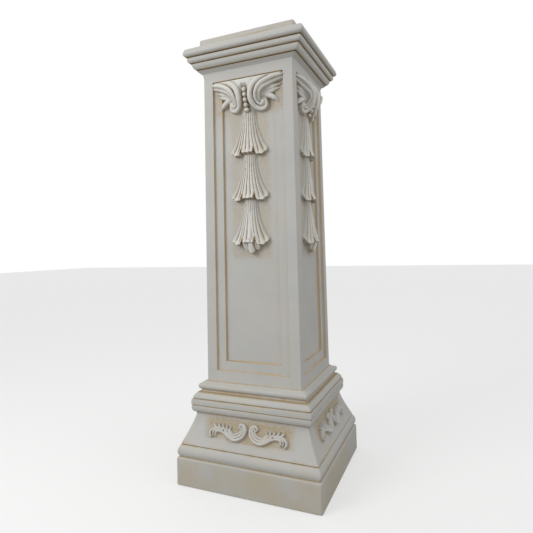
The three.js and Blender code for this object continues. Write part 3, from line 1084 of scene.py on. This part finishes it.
def panel_ground(g, at):
    """Share of wash on the panel beside and under the capital and round the drop."""
    above = g.scaled(at.uneven, 16 * MM, at.z)
    beside = g.scaled(at.uneven, 14 * MM, at.across)
    capital_part = g.times(
        g.step_mm(above, *CAPITAL_WASH_FOOT), g.step_mm(at.across, *CAPITAL_WASH_SIDE)
    )
    drop_part = g.times(g.step_mm(beside, *DROP_WASH_SIDE), g.step_mm(above, *DROP_WASH_FOOT))
    both = g.most(capital_part, g.times(drop_part, DROP_SHARE))
    return g.times(both, g.step_mm(at.z, *PANEL_WASH_TOP))


def scroll_ground(g, at):
    """Share of wash on the flare round the scroll, following its lower edge."""
    foot = SCROLL_WASH_FOOT * MM
    for near, far, rise in SCROLL_WASH_STEPS:
        foot = g.scaled(g.step_mm(at.across, near, far), rise * MM, foot)
    above = g.scaled(at.uneven, 6 * MM, g.less(at.z, foot))
    beside = g.scaled(at.blotch, 40 * MM, at.across)
    within = g.times(g.step_mm(above, -4, 2), g.step_mm(beside, *SCROLL_WASH_SIDE))
    return g.times(within, g.step_mm(at.z, *SCROLL_WASH_TOP))


def pale_ground(g, at):
    """Pale colour, cooler and warmer in soft patches, with upright brush streaks."""
    colour = g.mix(g.step(at.blotch, 0.38, 0.62), PALE_COOL, PALE)
    return g.mix(g.times(g.step(at.streak, 0.45, 0.75), STREAK_SHARE), colour, PALE_WARM)


def beige_patch(g, at):
    """Share of beige on the plinth, on the slab and in loose clouds elsewhere."""
    plinth = g.times(g.rest(g.step_mm(at.z, *PLINTH_BEIGE)), PLINTH_BEIGE_SHARE)
    slab = g.times(g.step_mm(at.z, *SLAB_BEIGE), SLAB_BEIGE_SHARE)
    base = g.times(g.step_mm(at.z, *BASE_BEIGE), BASE_BEIGE_SHARE)
    return g.times(g.step(at.cloud, 0.2, 0.7), g.most(plinth, slab, base, LEAST_BEIGE))


def worn_and_highlit_crest(g, at):
    """Share of wear and painted highlight on the high parts of the carving."""
    return g.times(g.step(at.raised, 3.0, 13.0), g.step(at.hollow, 0.2, -0.12), WORN_AND_HIGHLIGHT_SHARE)


def washed_and_shaded(g, at, colour):
    """The colour with wash in hollows, grooves and carving, and round the ornament, and dark
    brown that is partly painted shade.
    """
    carving_place = g.step_mm(at.across, *CARVING_SIDE)
    on_flare = g.times(g.step_mm(at.z, *FLARE_LOW), g.step_mm(at.z, *FLARE_HIGH))
    plain_flare = g.times(on_flare, g.rest(carving_place))
    hollow = g.times(at.hollow, g.rest(plain_flare))
    bare = g.rest(g.step(g.times(at.raised, carving_place), 0.4, 2.0))
    lined = g.most(g.times(at.wash, carving_place), at.groove)

    pooled = g.times(g.step(g.scaled(at.uneven, 0.25, hollow), 0.12, 0.6), POOLED_SHARE)
    carved = g.times(g.step(g.scaled(at.uneven, 0.8, lined), 0.2, 1.0), CARVED_SHARE)
    grainy = g.scaled(g.step(g.noise(at.where, 260, 3), 0.4, 0.62), 0.45, 0.4)
    ground = g.most(scroll_ground(g, at), g.times(panel_ground(g, at), PANEL_SHARE))
    ground = g.times(ground, bare, grainy)
    colour = g.mix(g.most(pooled, carved, ground), colour, TAN)
    colour = g.mix(g.times(panel_wash(g, at), bare), colour, OCHRE)

    crevice = g.step(g.scaled(at.uneven, 0.15, hollow), 0.3, 0.9)
    marked = g.scaled(at.uneven, 0.4, lined)
    # Dark brown where crevices meet carved lines, and where marks run above 1: patina, and
    # painted shade under hems, in notches, the channel and grooves
    dark_patina_and_shade = g.times(crevice, g.step(marked, 0.2, 1.1))
    dark_patina_and_shade = g.most(dark_patina_and_shade, g.step(marked, 0.95, 1.75))
    return g.mix(g.times(dark_patina_and_shade, DARK_PATINA_AND_SHADE_SHARE), colour, BROWN_PATINA_AND_SHADE)


def surface_grain(g, at):
    """Normal with the fine grain of the casting and upright brush marks."""
    grain = g.noise(at.where, 420, 4)
    brush = g.noise(at.where, 120, 3, stretch=(5, 5, 0.5))
    bump = g.tree.nodes.new("ShaderNodeBump")
    bump.inputs["Strength"].default_value = GRAIN_STRENGTH
    bump.inputs["Distance"].default_value = GRAIN_DEPTH
    g.put(bump.inputs["Height"], g.scaled(brush, 0.6, grain))
    return bump.outputs[0]


def cast_stone():
    """Pale grey-ivory casting with a tan wash left in its hollows, dark brown in places that is
    partly painted shade, and crests lightened partly as a painted highlight.
    """
    material = bpy.data.materials.new("cast_stone")
    material.use_nodes = True
    g = Graph(material.node_tree)
    at = surroundings(g)
    colour = g.mix(beige_patch(g, at), pale_ground(g, at), BEIGE)
    # Crests lightened: wear, and partly a painted highlight
    colour = g.mix(worn_and_highlit_crest(g, at), colour, WORN_AND_HIGHLIGHT)
    shader = g.tree.nodes["Principled BSDF"]
    g.put(shader.inputs["Base Color"], washed_and_shaded(g, at, colour))
    shader.inputs["Roughness"].default_value = PAINT_ROUGHNESS
    shader.inputs["Specular IOR Level"].default_value = PAINT_SPECULAR
    g.put(shader.inputs["Normal"], surface_grain(g, at))
    return material


# Studio, in metres

FLOOR_HALF = 12
FLOOR_Z = -0.0004
FLOOR_COLOUR = (0.45, 0.45, 0.447, 1)
FLOOR_GLOW = 0.48
WHITE = (1, 1, 1, 1)

# Share of the background's light that reaches the column
AMBIENT = 0.67

# Softboxes, as place, target, size and power
KEY = ((-0.8, -1.3, 1.25), (0, 0, 0.7), 0.8, 11.2)
FILL = ((1.1, -0.1, 1.35), (0, 0, 1.0), 0.7, 2.1)

# Camera fitted to the photograph's edges: yaw, pitch and roll in degrees, place and lens
CAMERA_TURN = (-23.931, -0.026, -1.356)
CAMERA_PLACE = (0.4171, -1.0279, 0.5188)
CAMERA_LENS, SENSOR_WIDTH = 31.05, 36
CAMERA_SHIFT = (0.0235, -0.031)


def seen_and_cast(tree, seen, cast):
    """A strength that is one value where the camera looks and another for cast light."""
    path = tree.nodes.new("ShaderNodeLightPath")
    return Graph(tree).scaled(path.outputs["Is Camera Ray"], seen - cast, cast)


def lay_floor():
    """Pale floor, which throws less light than it shows."""
    mesh = bpy.data.meshes.new("floor")
    near, far = -FLOOR_HALF, FLOOR_HALF
    corners = [(near, near, 0), (far, near, 0), (far, far, 0), (near, far, 0)]
    mesh.from_pydata(corners, [], [(0, 1, 2, 3)])
    floor = bpy.data.objects.new("floor", mesh)
    floor.location.z = FLOOR_Z
    material = bpy.data.materials.new("floor")
    material.use_nodes = True
    tree = material.node_tree
    shader = tree.nodes["Principled BSDF"]
    shader.inputs["Base Color"].default_value = FLOOR_COLOUR
    shader.inputs["Roughness"].default_value = 0.9
    shader.inputs["Emission Color"].default_value = WHITE
    tree.links.new(seen_and_cast(tree, FLOOR_GLOW, 0.0), shader.inputs["Emission Strength"])
    mesh.materials.append(material)
    bpy.context.scene.collection.objects.link(floor)


def light_background():
    """White background, which throws less light than it shows."""
    world = bpy.data.worlds.new("studio")
    world.use_nodes = True
    tree = world.node_tree
    background = tree.nodes["Background"]
    background.inputs["Color"].default_value = WHITE
    tree.links.new(seen_and_cast(tree, 1.0, AMBIENT), background.inputs["Strength"])
    bpy.context.scene.world = world


def softbox(name, place, target, size, power):
    """Square area light that faces its target."""
    data = bpy.data.lights.new(name, "AREA")
    data.shape = "SQUARE"
    data.size = size
    data.energy = power
    light = bpy.data.objects.new(name, data)
    light.location = place
    light.rotation_mode = "QUATERNION"
    light.rotation_quaternion = (Vector(target) - Vector(place)).to_track_quat("-Z", "Y")
    bpy.context.scene.collection.objects.link(light)


def studio():
    """Floor, background and lights."""
    lay_floor()
    light_background()
    softbox("key", *KEY)
    softbox("fill", *FILL)
    bpy.context.scene.view_settings.view_transform = "Standard"


def camera():
    """Camera with the photograph's place, turn and lens."""
    yaw, pitch, roll = map(math.radians, CAMERA_TURN)
    data = bpy.data.cameras.new("camera")
    data.sensor_width = SENSOR_WIDTH
    data.lens = CAMERA_LENS
    data.shift_x, data.shift_y = CAMERA_SHIFT
    data.clip_start, data.clip_end = 0.01, 50
    forward = Vector(
        (math.sin(yaw) * math.cos(pitch), math.cos(yaw) * math.cos(pitch), math.sin(pitch))
    )
    right = Vector((math.cos(yaw), -math.sin(yaw), 0))
    above = right.cross(forward)
    turned_right = right * math.cos(roll) + above * math.sin(roll)
    turned_up = above * math.cos(roll) - right * math.sin(roll)
    matrix = Matrix((turned_right, turned_up, -forward)).transposed().to_4x4()
    matrix.translation = Vector(CAMERA_PLACE)
    obj = bpy.data.objects.new("camera", data)
    obj.matrix_world = matrix
    bpy.context.scene.collection.objects.link(obj)
    bpy.context.scene.camera = obj


# The scene

column = make_column()
lighten(column)
column.data.materials.append(cast_stone())
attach(column, "root")
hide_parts("pedestal_column")
studio()
camera()
